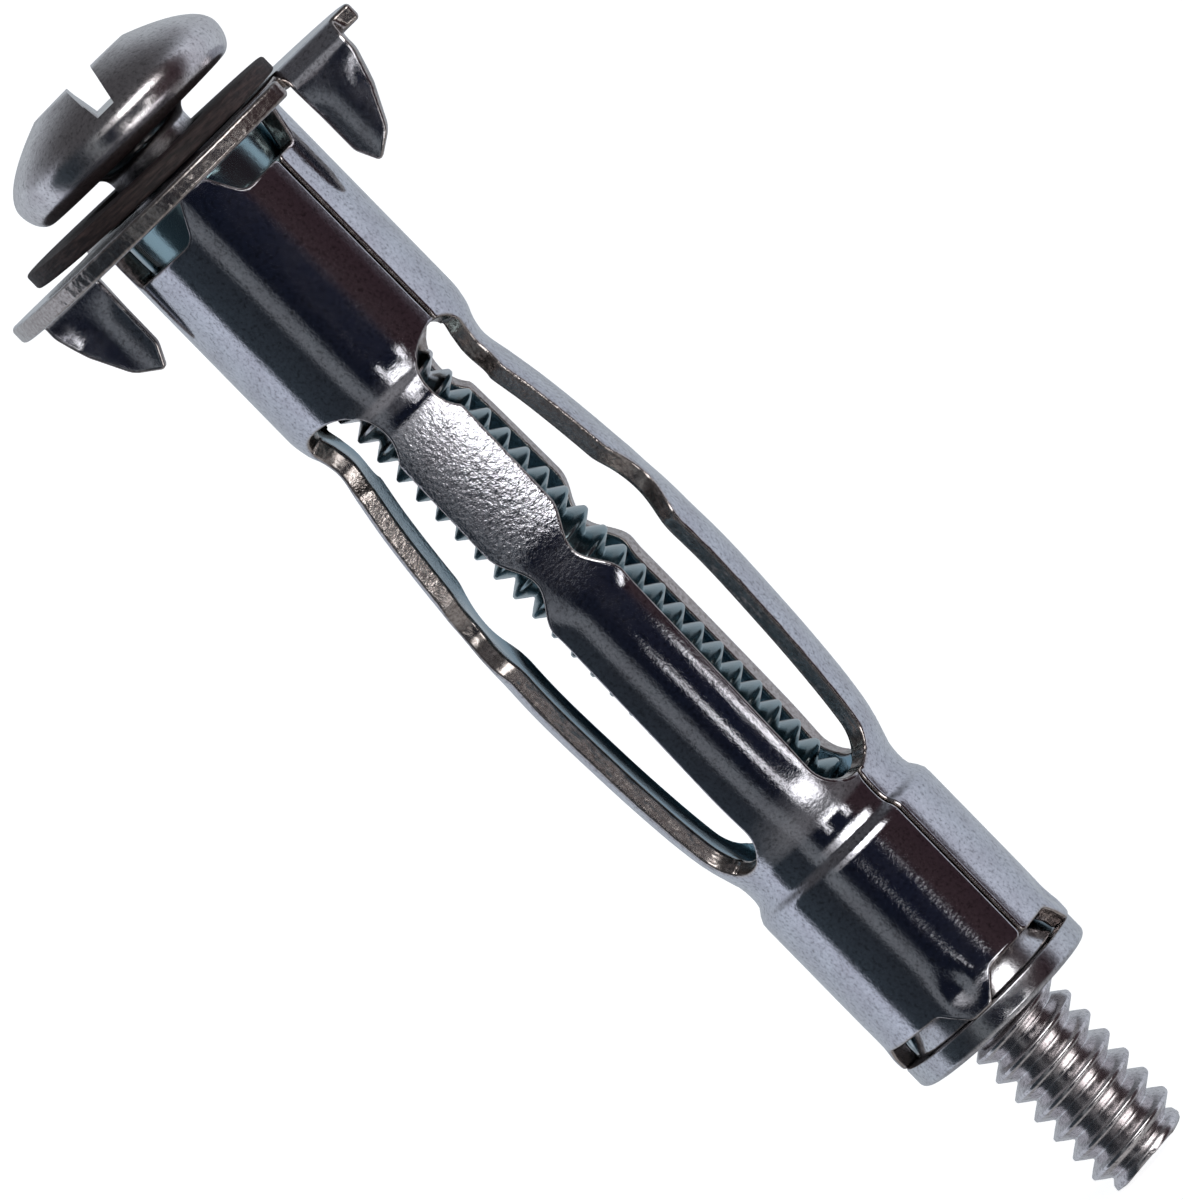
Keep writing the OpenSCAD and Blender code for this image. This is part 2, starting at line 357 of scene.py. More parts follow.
sleeve_radius = smooth_curve([
    (-7.3, SLEEVE_R), (BARREL_CUT, 3.2), (-8.5, 3.0), (NECK_Z, 2.9), (-9.9, 3.06), (-11.2, 3.28),
    (-13.2, 3.51), (WAIST_Z, 3.66), (-16.4, 3.76), (-18, 3.81), (-20.7, 3.72), (-22.9, 3.57),
    (-24.2, 3.41), (-24.8, 3.28),
    (-25.4, 3.1), (-25.8, 2.99), (-26.2, 2.97), (-26.55, 3.03), (-26.75, 3.2), (-27.0, 3.28), (-31.8, 3.28),
    (-32.4, 3.33), (TAB_TIP - 1, 3.3)
])
END_CURVE = 1 / float(sleeve_radius(ROOT_Z))
leg_curve = smooth_curve([
    (BARREL_CUT, 1 / 3.2), (NECK_Z, 0.16), (-9.8, 0.14), (-13.4, 0.13), (WAIST_Z, 0.14), (-16.2, 0.22),
    (-16.9, 0.34), (-23, 0.33), (ROOT_Z, END_CURVE)
])
leg_arc = smooth_curve([
    (BARREL_CUT, 1 / SLEEVE_R), (NECK_Z, 0.16), (-9.8, 0.14), (-13.4, 0.13), (WAIST_Z, 0.14), (-16.2, 0.22),
    (-16.9, 0.34), (-23, 0.33), (ROOT_Z, 1 / SLEEVE_R)
])
edge_roll = smooth_curve([(-14.6, 0), (-13.6, 1), (-9.8, 1), (NECK_Z, 0)])
straight = smooth_curve([(ROOT_Z, 0), (BARREL_CUT, 0)])
front_twist = smooth_curve([(ROOT_Z, 0), (-20, 2.0), (-13, 3.9), (BARREL_CUT, 4.2)])


def neck_half_width(z):
    """Half the leg's width beside the round heads of the slots."""
    across, tall = SLOT_HEAD
    return QUARTER / 2 - across * math.sqrt(max(0.0, 1 - ((z - NECK_Z) / tall) ** 2))


def leg_half_width(z):
    if z > NECK_Z - SLOT_HEAD[1]:
        width = neck_half_width(z)
        if z > NECK_Z:
            return width
        return min(width, UPPER_W / 2)
    reach = 1.5
    wide = UPPER_W / 2 if z > WAIST_Z else LOWER_W / 2
    if abs(z - WAIST_Z) < reach:
        dip = math.cos(math.pi / 2 * (z - WAIST_Z) / reach) ** 2
        return wide - (wide - WAIST_W / 2) * dip
    flare = z - (SLOT_BOTTOM + 1.1)
    if flare < 0:
        return wide + 1.1 - math.sqrt(1.1 ** 2 - flare ** 2)
    return wide


def leg_wrap(turn, twist):
    """The shape of one leg: across, along the axis and into the sheet.
    twist is its turn from true at a height."""

    def wrap(s, z, depth):
        curve = leg_curve(z)
        angle = s * leg_arc(z)
        rolled = 0.05 * edge_roll(z) * (s / 1.2) ** 4
        slope = (sleeve_radius(z + 0.02) - sleeve_radius(z - 0.02)) / 0.04
        lean = np.sqrt(1 + slope ** 2)
        radial = sleeve_radius(z) - rolled - (1 - np.cos(angle)) / curve - depth * np.cos(angle) / lean
        across = np.sin(angle) / curve - depth * np.sin(angle) / lean
        up = z + depth * slope / lean
        spin = np.radians(turn + twist(z))
        return np.c_[radial * np.cos(spin) - across * np.sin(spin),
                     radial * np.sin(spin) + across * np.cos(spin), up]

    return wrap


def tube_wrap(radius, extra=None):
    """The shape of a rolled tube, unrolled from the seam."""
    def wrap(s, z, depth):
        angle = s / SLEEVE_R + math.radians(SEAM_TURN)
        r = radius(z)
        slope = (radius(z + 0.02) - radius(z - 0.02)) / 0.04
        lean = np.sqrt(1 + slope ** 2)
        r = r - depth / lean
        if extra is not None:
            r = r + extra(s, z)
        return np.c_[r * np.cos(angle), r * np.sin(angle), z + depth * slope / lean]

    return wrap


def leg_outline(low, high, step=0.13):
    """The blank of one leg between two heights."""
    heights = np.linspace(low, high, max(3, round((high - low) / step)) + 1)
    right = [(leg_half_width(z), z) for z in heights]
    left = [(-w, z) for w, z in reversed(right)]
    top = np.linspace(right[-1][0], left[0][0], 15)[1:-1]
    bottom = np.linspace(left[-1][0], right[0][0], 15)[1:-1]
    points = right + [(x, high) for x in top] + left + [(x, low) for x in bottom]
    return np.array(points)


def barrel_outline(step=0.14):
    """The barrel's blank: scallops and tabs at the flange, and the starts of the four legs below."""
    around = 2 * math.pi * SLEEVE_R
    first, last = SEAM_SHIFT + SEAM_GAP / 2, around + SEAM_SHIFT - SEAM_GAP / 2
    arch_top = NECK_Z + SLOT_HEAD[1]
    half = neck_half_width(BARREL_CUT)
    rise = [NECK_Z + SLOT_HEAD[1] * math.cos(t)
            for t in np.linspace(0.12, math.acos((BARREL_CUT - NECK_Z) / SLOT_HEAD[1]), 8)]
    low, high = [(first, arch_top)], [(last, -SCALLOP_DEPTH, 0.15)]
    for k in range(4):
        middle = (k + 0.5) * QUARTER
        if k == 3:
            middle += math.radians(float(front_twist(BARREL_CUT))) * SLEEVE_R
        low += [(middle - neck_half_width(z), z) for z in rise if middle - neck_half_width(z) > first + 0.1]
        low += [(x, BARREL_CUT) for x in np.linspace(middle - half, middle + half, 21)[1:-1]]
        low += [(middle + neck_half_width(z), z) for z in rise[::-1]
                if middle + neck_half_width(z) < last - 0.1]
        if k < 3:
            low.append(((k + 1) * QUARTER + (0.12 if k == 2 else 0), arch_top))
    low.append((last, arch_top))
    for k in reversed(range(4)):
        middle = (k + 0.5) * QUARTER + (0.3 if k == 3 else 0)
        high += [(middle + TAB_BASE, -SCALLOP_DEPTH, 0.5), (middle + TAB_END, 0, 0.3),
                 (middle - TAB_END, 0, 0.3), (middle - TAB_BASE, -SCALLOP_DEPTH, 0.5)]
    high.append((first, -SCALLOP_DEPTH, 0.15))
    top = rounded(high + [(first, -4, 0), (last, -4, 0)], step)
    top = stretch(top, lambda p: p[1] > -3.99)
    side = np.arange(-4, arch_top + 0.15, -step)
    left = [(first, z) for z in side]
    right = [(last, z) for z in side[::-1]]
    return thin_out(np.array(left + low + right + top), 0.04)


def thin_out(points, least):
    """The same closed outline without points closer together than least."""
    kept = [points[0]]
    for p in points[1:]:
        if np.linalg.norm(p - kept[-1]) >= least:
            kept.append(p)
    if np.linalg.norm(kept[0] - kept[-1]) < least:
        kept.pop()
    return np.array(kept)


def collar_outline(step=0.14):
    """The collar's blank: stubs of the four legs, the slots' ends, and tabs and scallops at the tail."""
    around = 2 * math.pi * SLEEVE_R
    edge_s = 0.03
    half = leg_half_width(ROOT_Z)
    bottom = [(edge_s, COLLAR_END, 0.2)]
    for k in range(4):
        middle = (k + 0.5) * QUARTER
        bottom += [(middle - TAB_BASE, COLLAR_END, 0.35), (middle - TAB_END + 0.1, TAB_TIP, 0.35),
                   (middle + TAB_END - 0.1, TAB_TIP, 0.35), (middle + TAB_BASE, COLLAR_END, 0.35)]
    bottom.append((around - edge_s, COLLAR_END, 0.2))
    low = rounded(bottom + [(around - edge_s, -29, 0), (edge_s, -29, 0)], step)
    low = stretch(low, lambda p: p[1] < -29.01)
    side = [z for z in np.arange(-29, SLOT_BOTTOM - 0.15, step)]
    high = [(around - edge_s, SLOT_BOTTOM)]
    for k in reversed(range(4)):
        middle = (k + 0.5) * QUARTER
        flare = [z for z in np.linspace(SLOT_BOTTOM + 0.02, ROOT_Z, 5)]
        high += [(middle + min(leg_half_width(z), QUARTER / 2 - 0.1), z) for z in flare]
        high += [(x, ROOT_Z) for x in np.linspace(middle + half, middle - half, 21)[1:-1]]
        high += [(middle - min(leg_half_width(z), QUARTER / 2 - 0.1), z) for z in reversed(flare)]
        if k > 0:
            high.append((k * QUARTER, SLOT_BOTTOM))
    high.append((edge_s, SLOT_BOTTOM))
    right = [(around - edge_s, z) for z in side]
    left = [(edge_s, z) for z in reversed(side)]
    return thin_out(np.array(low + right + high + left), 0.04)


# ---- Building ----

def build_barrel():
    wrap = tube_wrap(sleeve_radius)
    return plate("sleeve_barrel_sheet", [barrel_outline()], wrap, SHEET_T, cuts=(BARREL_CUT,))


def build_leg(name, turn):
    wrap = leg_wrap(turn, front_twist if name == "front" else straight)
    upper = plate(f"upper_leg_{name}_sheet", [leg_outline(UPPER_CUT, BARREL_CUT)], wrap, SHEET_T,
                  spacing=0.2, cuts=(UPPER_CUT, BARREL_CUT))
    lower = plate(f"lower_leg_{name}_sheet", [leg_outline(ROOT_Z, UPPER_CUT)], wrap, SHEET_T,
                  spacing=0.2, cuts=(UPPER_CUT, ROOT_Z))
    return upper, lower


def collar_dimples(s, z):
    """Shallow staking marks near the tips of the tabs."""
    off = (s / QUARTER) % 1 - 0.5
    return -0.1 * np.exp(-(off * QUARTER / 0.42) ** 2 - ((z + 31.9) / 0.62) ** 2)


def build_collar():
    wrap = tube_wrap(sleeve_radius, collar_dimples)
    return plate("sleeve_collar_sheet", [collar_outline()], wrap, SHEET_T, cuts=(ROOT_Z,))


def build_flange():
    """The flange's blank, with its centre drawn down into a neck and its claws bent down."""
    step = 0.16
    rim_y = math.sqrt(FLANGE_R ** 2 - BEND_Y ** 2)
    root = CLAW_IN - 0.15
    corners = []
    for turn in (0, math.pi):
        low = math.radians(-CLAW_SECTOR)
        part = [(FLANGE_R * math.cos(low), FLANGE_R * math.sin(low), 0.25),
                (root * math.cos(low), root * math.sin(low), 0.35)]
        part += [(root * math.cos(a), root * math.sin(a), 0.1) for a in np.linspace(low + 0.1, -0.2, 4)[1:]]
        part += [(CLAW_IN - 0.12, BEND_Y - 0.35, 0.2), (CLAW_IN, BEND_Y - 0.6, 0.3),
                 (CLAW_IN + 0.02, BEND_Y - CLAW_LENGTH + 0.75, 0.5),
                 (CLAW_TIP - 0.05, BEND_Y - CLAW_LENGTH, 0.14),
                 (CLAW_TIP + 0.75, BEND_Y - CLAW_LENGTH + 0.55, 0.9), (CLAW_OUT - 0.35, BEND_Y - 2.2, 1.2),
                 (CLAW_OUT, BEND_Y - 1.1, 1.0), (CLAW_OUT, BEND_Y - 0.12, 0.25),
                 (CLAW_OUT + 0.3, BEND_Y, 0.1)]
        start = math.atan2(BEND_Y, rim_y)
        part += [(FLANGE_R * math.cos(a), FLANGE_R * math.sin(a), 0.25 if a == start else 0)
                 for a in np.linspace(start, math.pi - math.radians(CLAW_SECTOR), 27)[:-1]]
        c, s = math.cos(turn), math.sin(turn)
        corners += [(c * x - s * y, s * x + c * y, r) for x, y, r in part]
    outer = thin_out(rounded(corners, step), 0.05)
    neck_mid = NECK_BEND_R + FLANGE_T / 2
    straight = -NECK_BEND_R - NECK_BOTTOM
    hole_r = NECK_BEND_AT - math.pi / 2 * neck_mid - straight
    hole = circle_points(hole_r, 0.06, clockwise=True)

    def wrap(x, y, depth):
        radius = np.hypot(x, y)
        turn = np.arctan2(y, x)
        inner = np.maximum(NECK_BEND_AT - radius, 0)
        bend = np.minimum(inner / neck_mid, math.pi / 2)
        drop = np.maximum(inner - math.pi / 2 * neck_mid, 0)
        r = np.where(inner > 0, NECK_BEND_AT - (NECK_BEND_R + FLANGE_T - depth) * np.sin(bend), radius)
        z = FLANGE_T - depth
        z = np.where(inner > 0, -NECK_BEND_R + (NECK_BEND_R + FLANGE_T - depth) * np.cos(bend) - drop, z)
        px, py = r * np.cos(turn), r * np.sin(turn)
        for flip in (1, -1):
            v = BEND_Y - flip * y
            side = flip * x
            angle = np.degrees(np.arctan2(flip * y, side))
            claw = (v > 0) & (radius > root + 0.02) & (angle > -CLAW_SECTOR + 4) & (side > 0)
            mid = BEND_R + FLANGE_T / 2
            turn_by = np.minimum(v / mid, math.pi / 2)
            below = np.maximum(v - math.pi / 2 * mid, 0)
            cup = 0.22 * ((side - 4.9) / 1.05) ** 2 * np.minimum(below, 1)
            reach = BEND_R + FLANGE_T - depth
            claw_y = BEND_Y - reach * np.sin(turn_by) + cup
            claw_z = -BEND_R + reach * np.cos(turn_by) - below
            py = np.where(claw, flip * claw_y, py)
            z = np.where(claw, claw_z, z)
        return np.c_[px, py, z]

    return plate("prong_flange_sheet", [outer, hole], wrap, FLANGE_T, edge=0.14, spacing=0.2)


def build_washer():
    """A fibre ring, a little warped, that has slipped to one side and leans on the flange."""
    shift, lean = -0.72, math.radians(1.2)

    def wrap(x, y, depth):
        warp = 0.03 * (x * x - y * y) / WASHER_R ** 2
        up = FLANGE_TOP + 0.14 + WASHER_T - depth + warp - x * math.sin(lean)
        return np.c_[x + shift, y, up]

    loops = [circle_points(WASHER_R, 0.22), circle_points(WASHER_HOLE_R, 0.2, clockwise=True)]
    return plate("fibre_washer_ring", loops, wrap, WASHER_T, edge=0.1, spacing=0.3)


def build_head():
    """The head and the plain shank, turned, with the driver slot cut across."""
    dome = []
    for k in range(25):
        rise = 1 - k / 24
        r = HEAD_FLAT_R + (HEAD_R - HEAD_FLAT_R) * (1 - rise ** 2)
        dome.append((r, RIM_Z + (HEAD_TOP - RIM_Z) * rise))
    top = [(0.02, HEAD_TOP), (0.7, HEAD_TOP - 0.004), (1.3, HEAD_TOP - 0.015)]
    dome = [(r, z - 0.03 * (1 - k / 24)) for k, (r, z) in enumerate(dome)]
    rim = arc((HEAD_SEAT_R, RIM_Z), (HEAD_R - HEAD_SEAT_R, RIM_Z - HEAD_BOTTOM), 0, -90, 10)[1:]
    fillet_r = 0.4
    fillet = arc((SHANK_R + fillet_r, HEAD_BOTTOM - fillet_r), (fillet_r, fillet_r), 90, 180, 8)
    end = [(SHANK_R, THREAD_TOP - 0.02), (ROOT_R - 0.05, THREAD_TOP - 0.3), (0.02, THREAD_TOP - 0.3)]
    head = lathe("screw_head", top + dome + rim + fillet + end, 192)
    cutters = [slot_cutter(), bruise_cutter()]
    for cutter in cutters:
        cut = head.modifiers.new(cutter.name, "BOOLEAN")
        cut.object = cutter
        cut.operation = "DIFFERENCE"
        cut.solver = "EXACT"
    bevel = head.modifiers.new("bevel", "BEVEL")
    bevel.width = 0.05 * MM
    bevel.segments = 3
    bevel.limit_method = "ANGLE"
    bevel.angle_limit = math.radians(38)
    graph = bpy.context.evaluated_depsgraph_get()
    mesh = bpy.data.meshes.new_from_object(head.evaluated_get(graph))
    for cutter in cutters:
        bpy.data.objects.remove(cutter)
    made = bpy.data.objects.new("screw_head", mesh)
    bpy.data.objects.remove(head)
    bpy.context.scene.collection.objects.link(made)
    return made


def slot_cutter():
    """The driver slot's shape, a little wider at the top."""
    half, floor = SLOT_W / 2, HEAD_TOP - SLOT_DEPTH
    section = [(-half - 0.2, HEAD_TOP + 1), (-half, HEAD_TOP - 0.3), (-half + 0.16, floor),
               (half - 0.12, floor), (half, HEAD_TOP - 0.3), (half + 0.05, HEAD_TOP + 1)]
    reach = HEAD_R + 1
    verts = [(x, across, z) for x in (-reach, reach) for across, z in section]
    count = len(section)
    faces = [(i, (i + 1) % count, count + (i + 1) % count, count + i) for i in range(count)]
    faces += [tuple(reversed(range(count))), tuple(range(count, 2 * count))]
    cutter = make_object("slot_cutter", verts, faces)
    cutter.data.transform(Quaternion((0, 0, 1), math.radians(SLOT_TURN)).to_matrix().to_4x4())
    return cutter


def bruise_cutter():
    """A slanted nick in one side of the driver slot, where a driver has slipped."""
    half, floor, top = SLOT_W / 2 - 0.05, HEAD_TOP - SLOT_DEPTH + 0.08, HEAD_TOP + 0.6
    near = [(half, floor), (half + 2.1, top), (half, top)]
    far = [(half, HEAD_TOP - 0.4), (half + 0.12, top), (half, top)]
    verts = [(-4.4, across, z) for across, z in near] + [(-0.5, across, z) for across, z in far]
    faces = [(0, 1, 2), (3, 5, 4), (0, 3, 4, 1), (1, 4, 5, 2), (2, 5, 3, 0)]
    cutter = make_object("bruise_cutter", verts, faces)
    cutter.data.transform(Quaternion((0, 0, 1), math.radians(SLOT_TURN)).to_matrix().to_4x4())
    return cutter


def build_thread():
    """The rolled thread: a right-hand helix whose profile fades out at both ends."""
    segments = 72
    profile = [(0.0, 0), (0.05, 0.06), (0.22, 0.5), (0.42, 0.97), (0.46, 1), (0.54, 1), (0.58, 0.97),
               (0.78, 0.5), (0.95, 0.06)]
    per_turn = len(profile)
    bottom, top = TIP_Z + 0.06, THREAD_TOP - 0.05
    turns = math.ceil((top - THREAD_START) / PITCH) + 1
    verts = []
    for k in range(turns * per_turn + 1):
        lead, height = profile[k % per_turn]
        for i in range(segments):
            a = 2 * math.pi * i / segments
            z = THREAD_START + PITCH * (k // per_turn + lead + i / segments)
            sheared = bottom + 0.13 * (1 + math.cos(a - 0.2)) + 0.04 * math.sin(3 * a)
            held = min(max(z, sheared), top)
            fade = min(1.0, max(0.0, (top - z) / 0.9), max(0.15, (z - sheared) / 0.4))
            r = ROOT_R + (THREAD_R - ROOT_R) * height * math.sqrt(fade)
            if z < sheared:
                r = ROOT_R + 0.02
            verts.append((r * math.cos(a), r * math.sin(a), held))
    faces = []
    for k in range(turns * per_turn):
        for i in range(segments - 1):
            low = k * segments + i
            faces.append((low, low + 1, low + 1 + segments, low + segments))
        low = k * segments + segments - 1
        turned = (k + per_turn) * segments
        if turned + segments < len(verts):
            faces.append((low, turned, turned + segments, low + segments))
    thread = make_object("screw_thread", verts, faces)
    bm = bmesh.new()
    bm.from_mesh(thread.data)
    bmesh.ops.holes_fill(bm, edges=[e for e in bm.edges if e.is_boundary], sides=0)
    bmesh.ops.recalc_face_normals(bm, faces=bm.faces)
    bm.to_mesh(thread.data)
    bm.free()
    return thread


def build_screw():
    """The machine screw, which leans a little in its clearances above the nut."""
    screw = join("machine_screw", build_head(), build_thread())
    held_z, lean_angle = -31, math.radians(-0.5)
    held = Vector((0, 0, held_z)) * MM
    lean = Quaternion((0, 1, 0), lean_angle).to_matrix().to_4x4()
    screw.data.transform(Matrix.Translation(held) @ lean @ Matrix.Translation(-held))
    return screw


def build_nut():
    """The nut: a straight bore in a collar inside the sleeve's tail, which widens to the disc at the tabs."""
    corner = 0.22
    collar_r = NUT_R - 0.12
    outline = [(NUT_BORE_R, NUT_TOP - 0.25), (NUT_BORE_R + 0.25, NUT_TOP)]
    outline += arc((collar_r - 0.15, NUT_TOP - 0.15), (0.15, 0.15), 90, 0, 4)
    outline += [(collar_r, DISC_TOP + 0.75), (NUT_R - 0.1, DISC_TOP + 0.65), (NUT_R + 0.05, DISC_TOP + 0.06),
                (NUT_R + 0.08, DISC_TOP)]
    outline += arc((DISC_R - 0.08, DISC_TOP - 0.08), (0.08, 0.08), 90, 0, 4)
    outline += arc((DISC_R - corner, NUT_BOTTOM + corner), (corner, corner), 0, -90, 8)
    outline += [(NUT_BORE_R + 0.3, NUT_BOTTOM), (NUT_BORE_R, NUT_BOTTOM + 0.3)]
    return lathe("nut_body", outline, 128)


# ---- Materials ----

def new_material(name):
    material = bpy.data.materials.new(name)
    material.use_nodes = True
    tree = material.node_tree
    return material, tree, tree.nodes["Principled BSDF"]


def add(tree, kind, **values):
    """A node with its properties or inputs set."""
    made = tree.nodes.new(kind)
    for key, value in values.items():
        if key in made.inputs.keys():
            made.inputs[key].default_value = value
        else:
            setattr(made, key, value)
    return made


def noise(tree, place, scale, detail=3.0, rough=0.5, stretch=(1, 1, 1)):
    """Noise with a feature size of about 1 / scale, in millimetres."""
    mapping = add(tree, "ShaderNodeMapping")
    mapping.inputs["Scale"].default_value = [scale * 1000 * s for s in stretch]
    tree.links.new(place, mapping.inputs["Vector"])
    made = add(tree, "ShaderNodeTexNoise", Scale=1.0, Detail=detail, Roughness=rough)
    tree.links.new(mapping.outputs["Vector"], made.inputs["Vector"])
    return made.outputs["Fac"]


def ramp(tree, fac, *stops):
    """A ramp of (place, colour or grey) stops."""
    made = add(tree, "ShaderNodeValToRGB")
    while len(made.color_ramp.elements) < len(stops):
        made.color_ramp.elements.new(0.5)
    for element, (place, colour) in zip(made.color_ramp.elements, stops):
        element.position = place
        element.color = (*colour, 1) if isinstance(colour, tuple) else (colour, colour, colour, 1)
    tree.links.new(fac, made.inputs["Fac"])
    return made.outputs["Color"]


def mix(tree, fac, a, b, blend="MIX"):
    made = add(tree, "ShaderNodeMix", data_type="RGBA", blend_type=blend)
    for value, key in ((fac, "Factor"), (a, "A"), (b, "B")):
        socket = next(s for s in made.inputs if s.name == key and s.enabled)
        if isinstance(value, bpy.types.NodeSocket):
            tree.links.new(value, socket)
        else:
            socket.default_value = value if key == "Factor" else (*value, 1)
    return next(s for s in made.outputs if s.enabled)


def math_node(tree, operation, a, b):
    made = add(tree, "ShaderNodeMath", operation=operation)
    for value, socket in zip((a, b), made.inputs):
        if isinstance(value, bpy.types.NodeSocket):
            tree.links.new(value, socket)
        else:
            socket.default_value = value
    return made.outputs[0]


def between(tree, place, low, high, soft):
    """1 between two heights and 0 beyond them, with soft ends."""
    z = add(tree, "ShaderNodeSeparateXYZ")
    tree.links.new(place, z.inputs[0])
    sides = []
    for at, inner, outer in ((low, 1, 0), (high, 0, 1)):
        side = add(tree, "ShaderNodeMapRange", interpolation_type="SMOOTHSTEP")
        for key, value in (("From Min", (at - soft) * MM), ("From Max", (at + soft) * MM),
                           ("To Min", outer), ("To Max", inner)):
            side.inputs[key].default_value = value
        tree.links.new(z.outputs[2], side.inputs["Value"])
        sides.append(side.outputs[0])
    return math_node(tree, "MULTIPLY", *sides)


def zinc_plate(name, tint, grain=0.35, coined=None, streak=None, polish=0.1, painted_inner_shade=False, painted_shade_heights=None,
               painted_shade_radius=None):
    """Bright zinc plate: fine speckle, dull blotches and brownish cut edges.
    coined is a height range that is rough from the press, and streak adds marks along the axis. The
    inner side of a sheet, a piece between the given heights and a piece nearer the axis than the given
    radius are painted darker and bluish: painted shade and painted bluish reflection inside the sleeve."""
    material, tree, shader = new_material(name)
    place = add(tree, "ShaderNodeTexCoord").outputs["Object"]
    fine = noise(tree, place, 9, 4, 0.6)
    patch = noise(tree, place, 1.2, 3, 0.55)
    dark = tuple(0.55 * c for c in tint)
    colour = ramp(tree, fine, (0.3, dark), (0.46, tint), (0.75, tuple(min(1, 1.25 * c) for c in tint)))
    stain = ramp(tree, patch, (0.35, (1.0, 1.0, 1.0)), (0.7, (0.86, 0.84, 0.85)))
    colour = mix(tree, 1.0, colour, stain, "MULTIPLY")
    rough = ramp(tree, patch, (0.3, polish), (0.7, polish * 1.6))
    height = math_node(tree, "MULTIPLY", fine, grain)
    if coined:
        lumps = noise(tree, place, 6.0, 3, 0.65)
        zone = math_node(tree, "MULTIPLY", between(tree, place, *coined, 0.5), 3.2)
        height = math_node(tree, "ADD", height, math_node(tree, "MULTIPLY", lumps, zone))
    if streak:
        lines = noise(tree, place, 3.0, 2, 0.5, (1, 1, 0.12))
        height = math_node(tree, "ADD", height, math_node(tree, "MULTIPLY", lines, streak))
    # Painted shade: the inner side of the sheet is painted dark and bluish, for the shade and bluish
    # reflection inside the tube.
    if painted_inner_shade:
        within = add(tree, "ShaderNodeAttribute", attribute_name="inside").outputs["Fac"]
        colour = mix(tree, within, colour, (0.2, 0.3, 0.35))
    # Painted shade: the part near the axis (the flange's neck, inside the sleeve) is painted dark and bluish.
    if painted_shade_radius:
        off_axis = add(tree, "ShaderNodeVectorMath", operation="MULTIPLY")
        off_axis.inputs[1].default_value = (1, 1, 0)
        tree.links.new(place, off_axis.inputs[0])
        reach = add(tree, "ShaderNodeVectorMath", operation="LENGTH")
        tree.links.new(off_axis.outputs[0], reach.inputs[0])
        near = math_node(tree, "LESS_THAN", reach.outputs["Value"], painted_shade_radius * MM)
        colour = mix(tree, near, colour, (0.3, 0.42, 0.45))
    # Painted shade: the screw between these heights, inside the sleeve, is painted dark and bluish for the
    # shade and reflection there.
    if painted_shade_heights:
        colour = mix(tree, between(tree, place, *painted_shade_heights, 1.0), colour, (0.3, 0.38, 0.4))
    cut = add(tree, "ShaderNodeAttribute", attribute_name="cut_edge").outputs["Fac"]
    steel = ramp(tree, fine, (0.3, (0.34, 0.29, 0.27)), (0.6, (0.56, 0.51, 0.48)))
    colour = mix(tree, cut, colour, steel)
    rough = mix(tree, cut, rough, (0.22, 0.22, 0.22))
    chips = noise(tree, place, 1.6, 2, 0.5, (1.5, 1.5, 1))
    chipped = math_node(tree, "MULTIPLY", math_node(tree, "MULTIPLY", chips, cut), 4.0)
    height = math_node(tree, "ADD", height, chipped)
    tree.links.new(colour, shader.inputs["Base Color"])
    tree.links.new(rough, shader.inputs["Roughness"])
    shader.inputs["Metallic"].default_value = 1.0
    bump = add(tree, "ShaderNodeBump", Strength=0.55, Distance=0.02 * MM)
    tree.links.new(height, bump.inputs["Height"])
    tree.links.new(bump.outputs[0], shader.inputs["Normal"])
    return material


def fibre_board():
    """Dark brown vulcanised fibre, matt and slightly mottled, with a worn edge."""
    material, tree, shader = new_material("vulcanised_fibre")
    place = add(tree, "ShaderNodeTexCoord").outputs["Object"]
    fine = noise(tree, place, 5, 5, 0.65)
    layers = noise(tree, place, 2.0, 3, 0.6, (1, 1, 7))
    colour = ramp(tree, fine, (0.3, (0.012, 0.007, 0.007)), (0.6, (0.035, 0.018, 0.017)),
                  (0.85, (0.11, 0.06, 0.055)))
    edge = ramp(tree, layers, (0.4, (0.012, 0.007, 0.007)), (0.75, (0.06, 0.035, 0.032)))
    cut = add(tree, "ShaderNodeAttribute", attribute_name="cut_edge").outputs["Fac"]
    tree.links.new(mix(tree, cut, colour, edge), shader.inputs["Base Color"])
    tree.links.new(ramp(tree, fine, (0.3, 0.75), (0.7, 0.55)), shader.inputs["Roughness"])
    bump = add(tree, "ShaderNodeBump", Strength=0.6, Distance=0.03 * MM)
    tree.links.new(math_node(tree, "ADD", fine, layers), bump.inputs["Height"])
    tree.links.new(bump.outputs[0], shader.inputs["Normal"])
    return material


# ---- The object ----

ZINC = (0.62, 0.62, 0.66)
# The sleeve's inner side gets painted shade: darker and bluish.
sleeve_zinc = zinc_plate("sleeve_zinc_plate", ZINC, grain=0.35, coined=(-14.2, -9.3), streak=0.3,
                         polish=0.075, painted_inner_shade=True)
# The flange's neck near the axis gets painted shade: darker and bluish.
flange_zinc = zinc_plate("flange_zinc_plate", ZINC, grain=0.4, polish=0.12, painted_shade_radius=3.0)
# The screw's stretch inside the sleeve gets painted shade: darker and bluish.
screw_zinc = zinc_plate("screw_zinc_plate", (0.72, 0.69, 0.69), grain=0.3, polish=0.16, painted_shade_heights=(-26, -9))
nut_zinc = zinc_plate("nut_zinc_plate", (0.6, 0.6, 0.62), grain=0.3, polish=0.16)
fibre = fibre_board()


def finish_piece(piece, material, slot, body, *nodes):
    """Gives a piece its material, the body it rides on and the CAD nodes that it stands for. The slot is not
    used.
    """
    piece.data.materials.clear()
    piece.data.materials.append(material)
    if body:
        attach(piece, body)
    if nodes:
        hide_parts(*nodes)


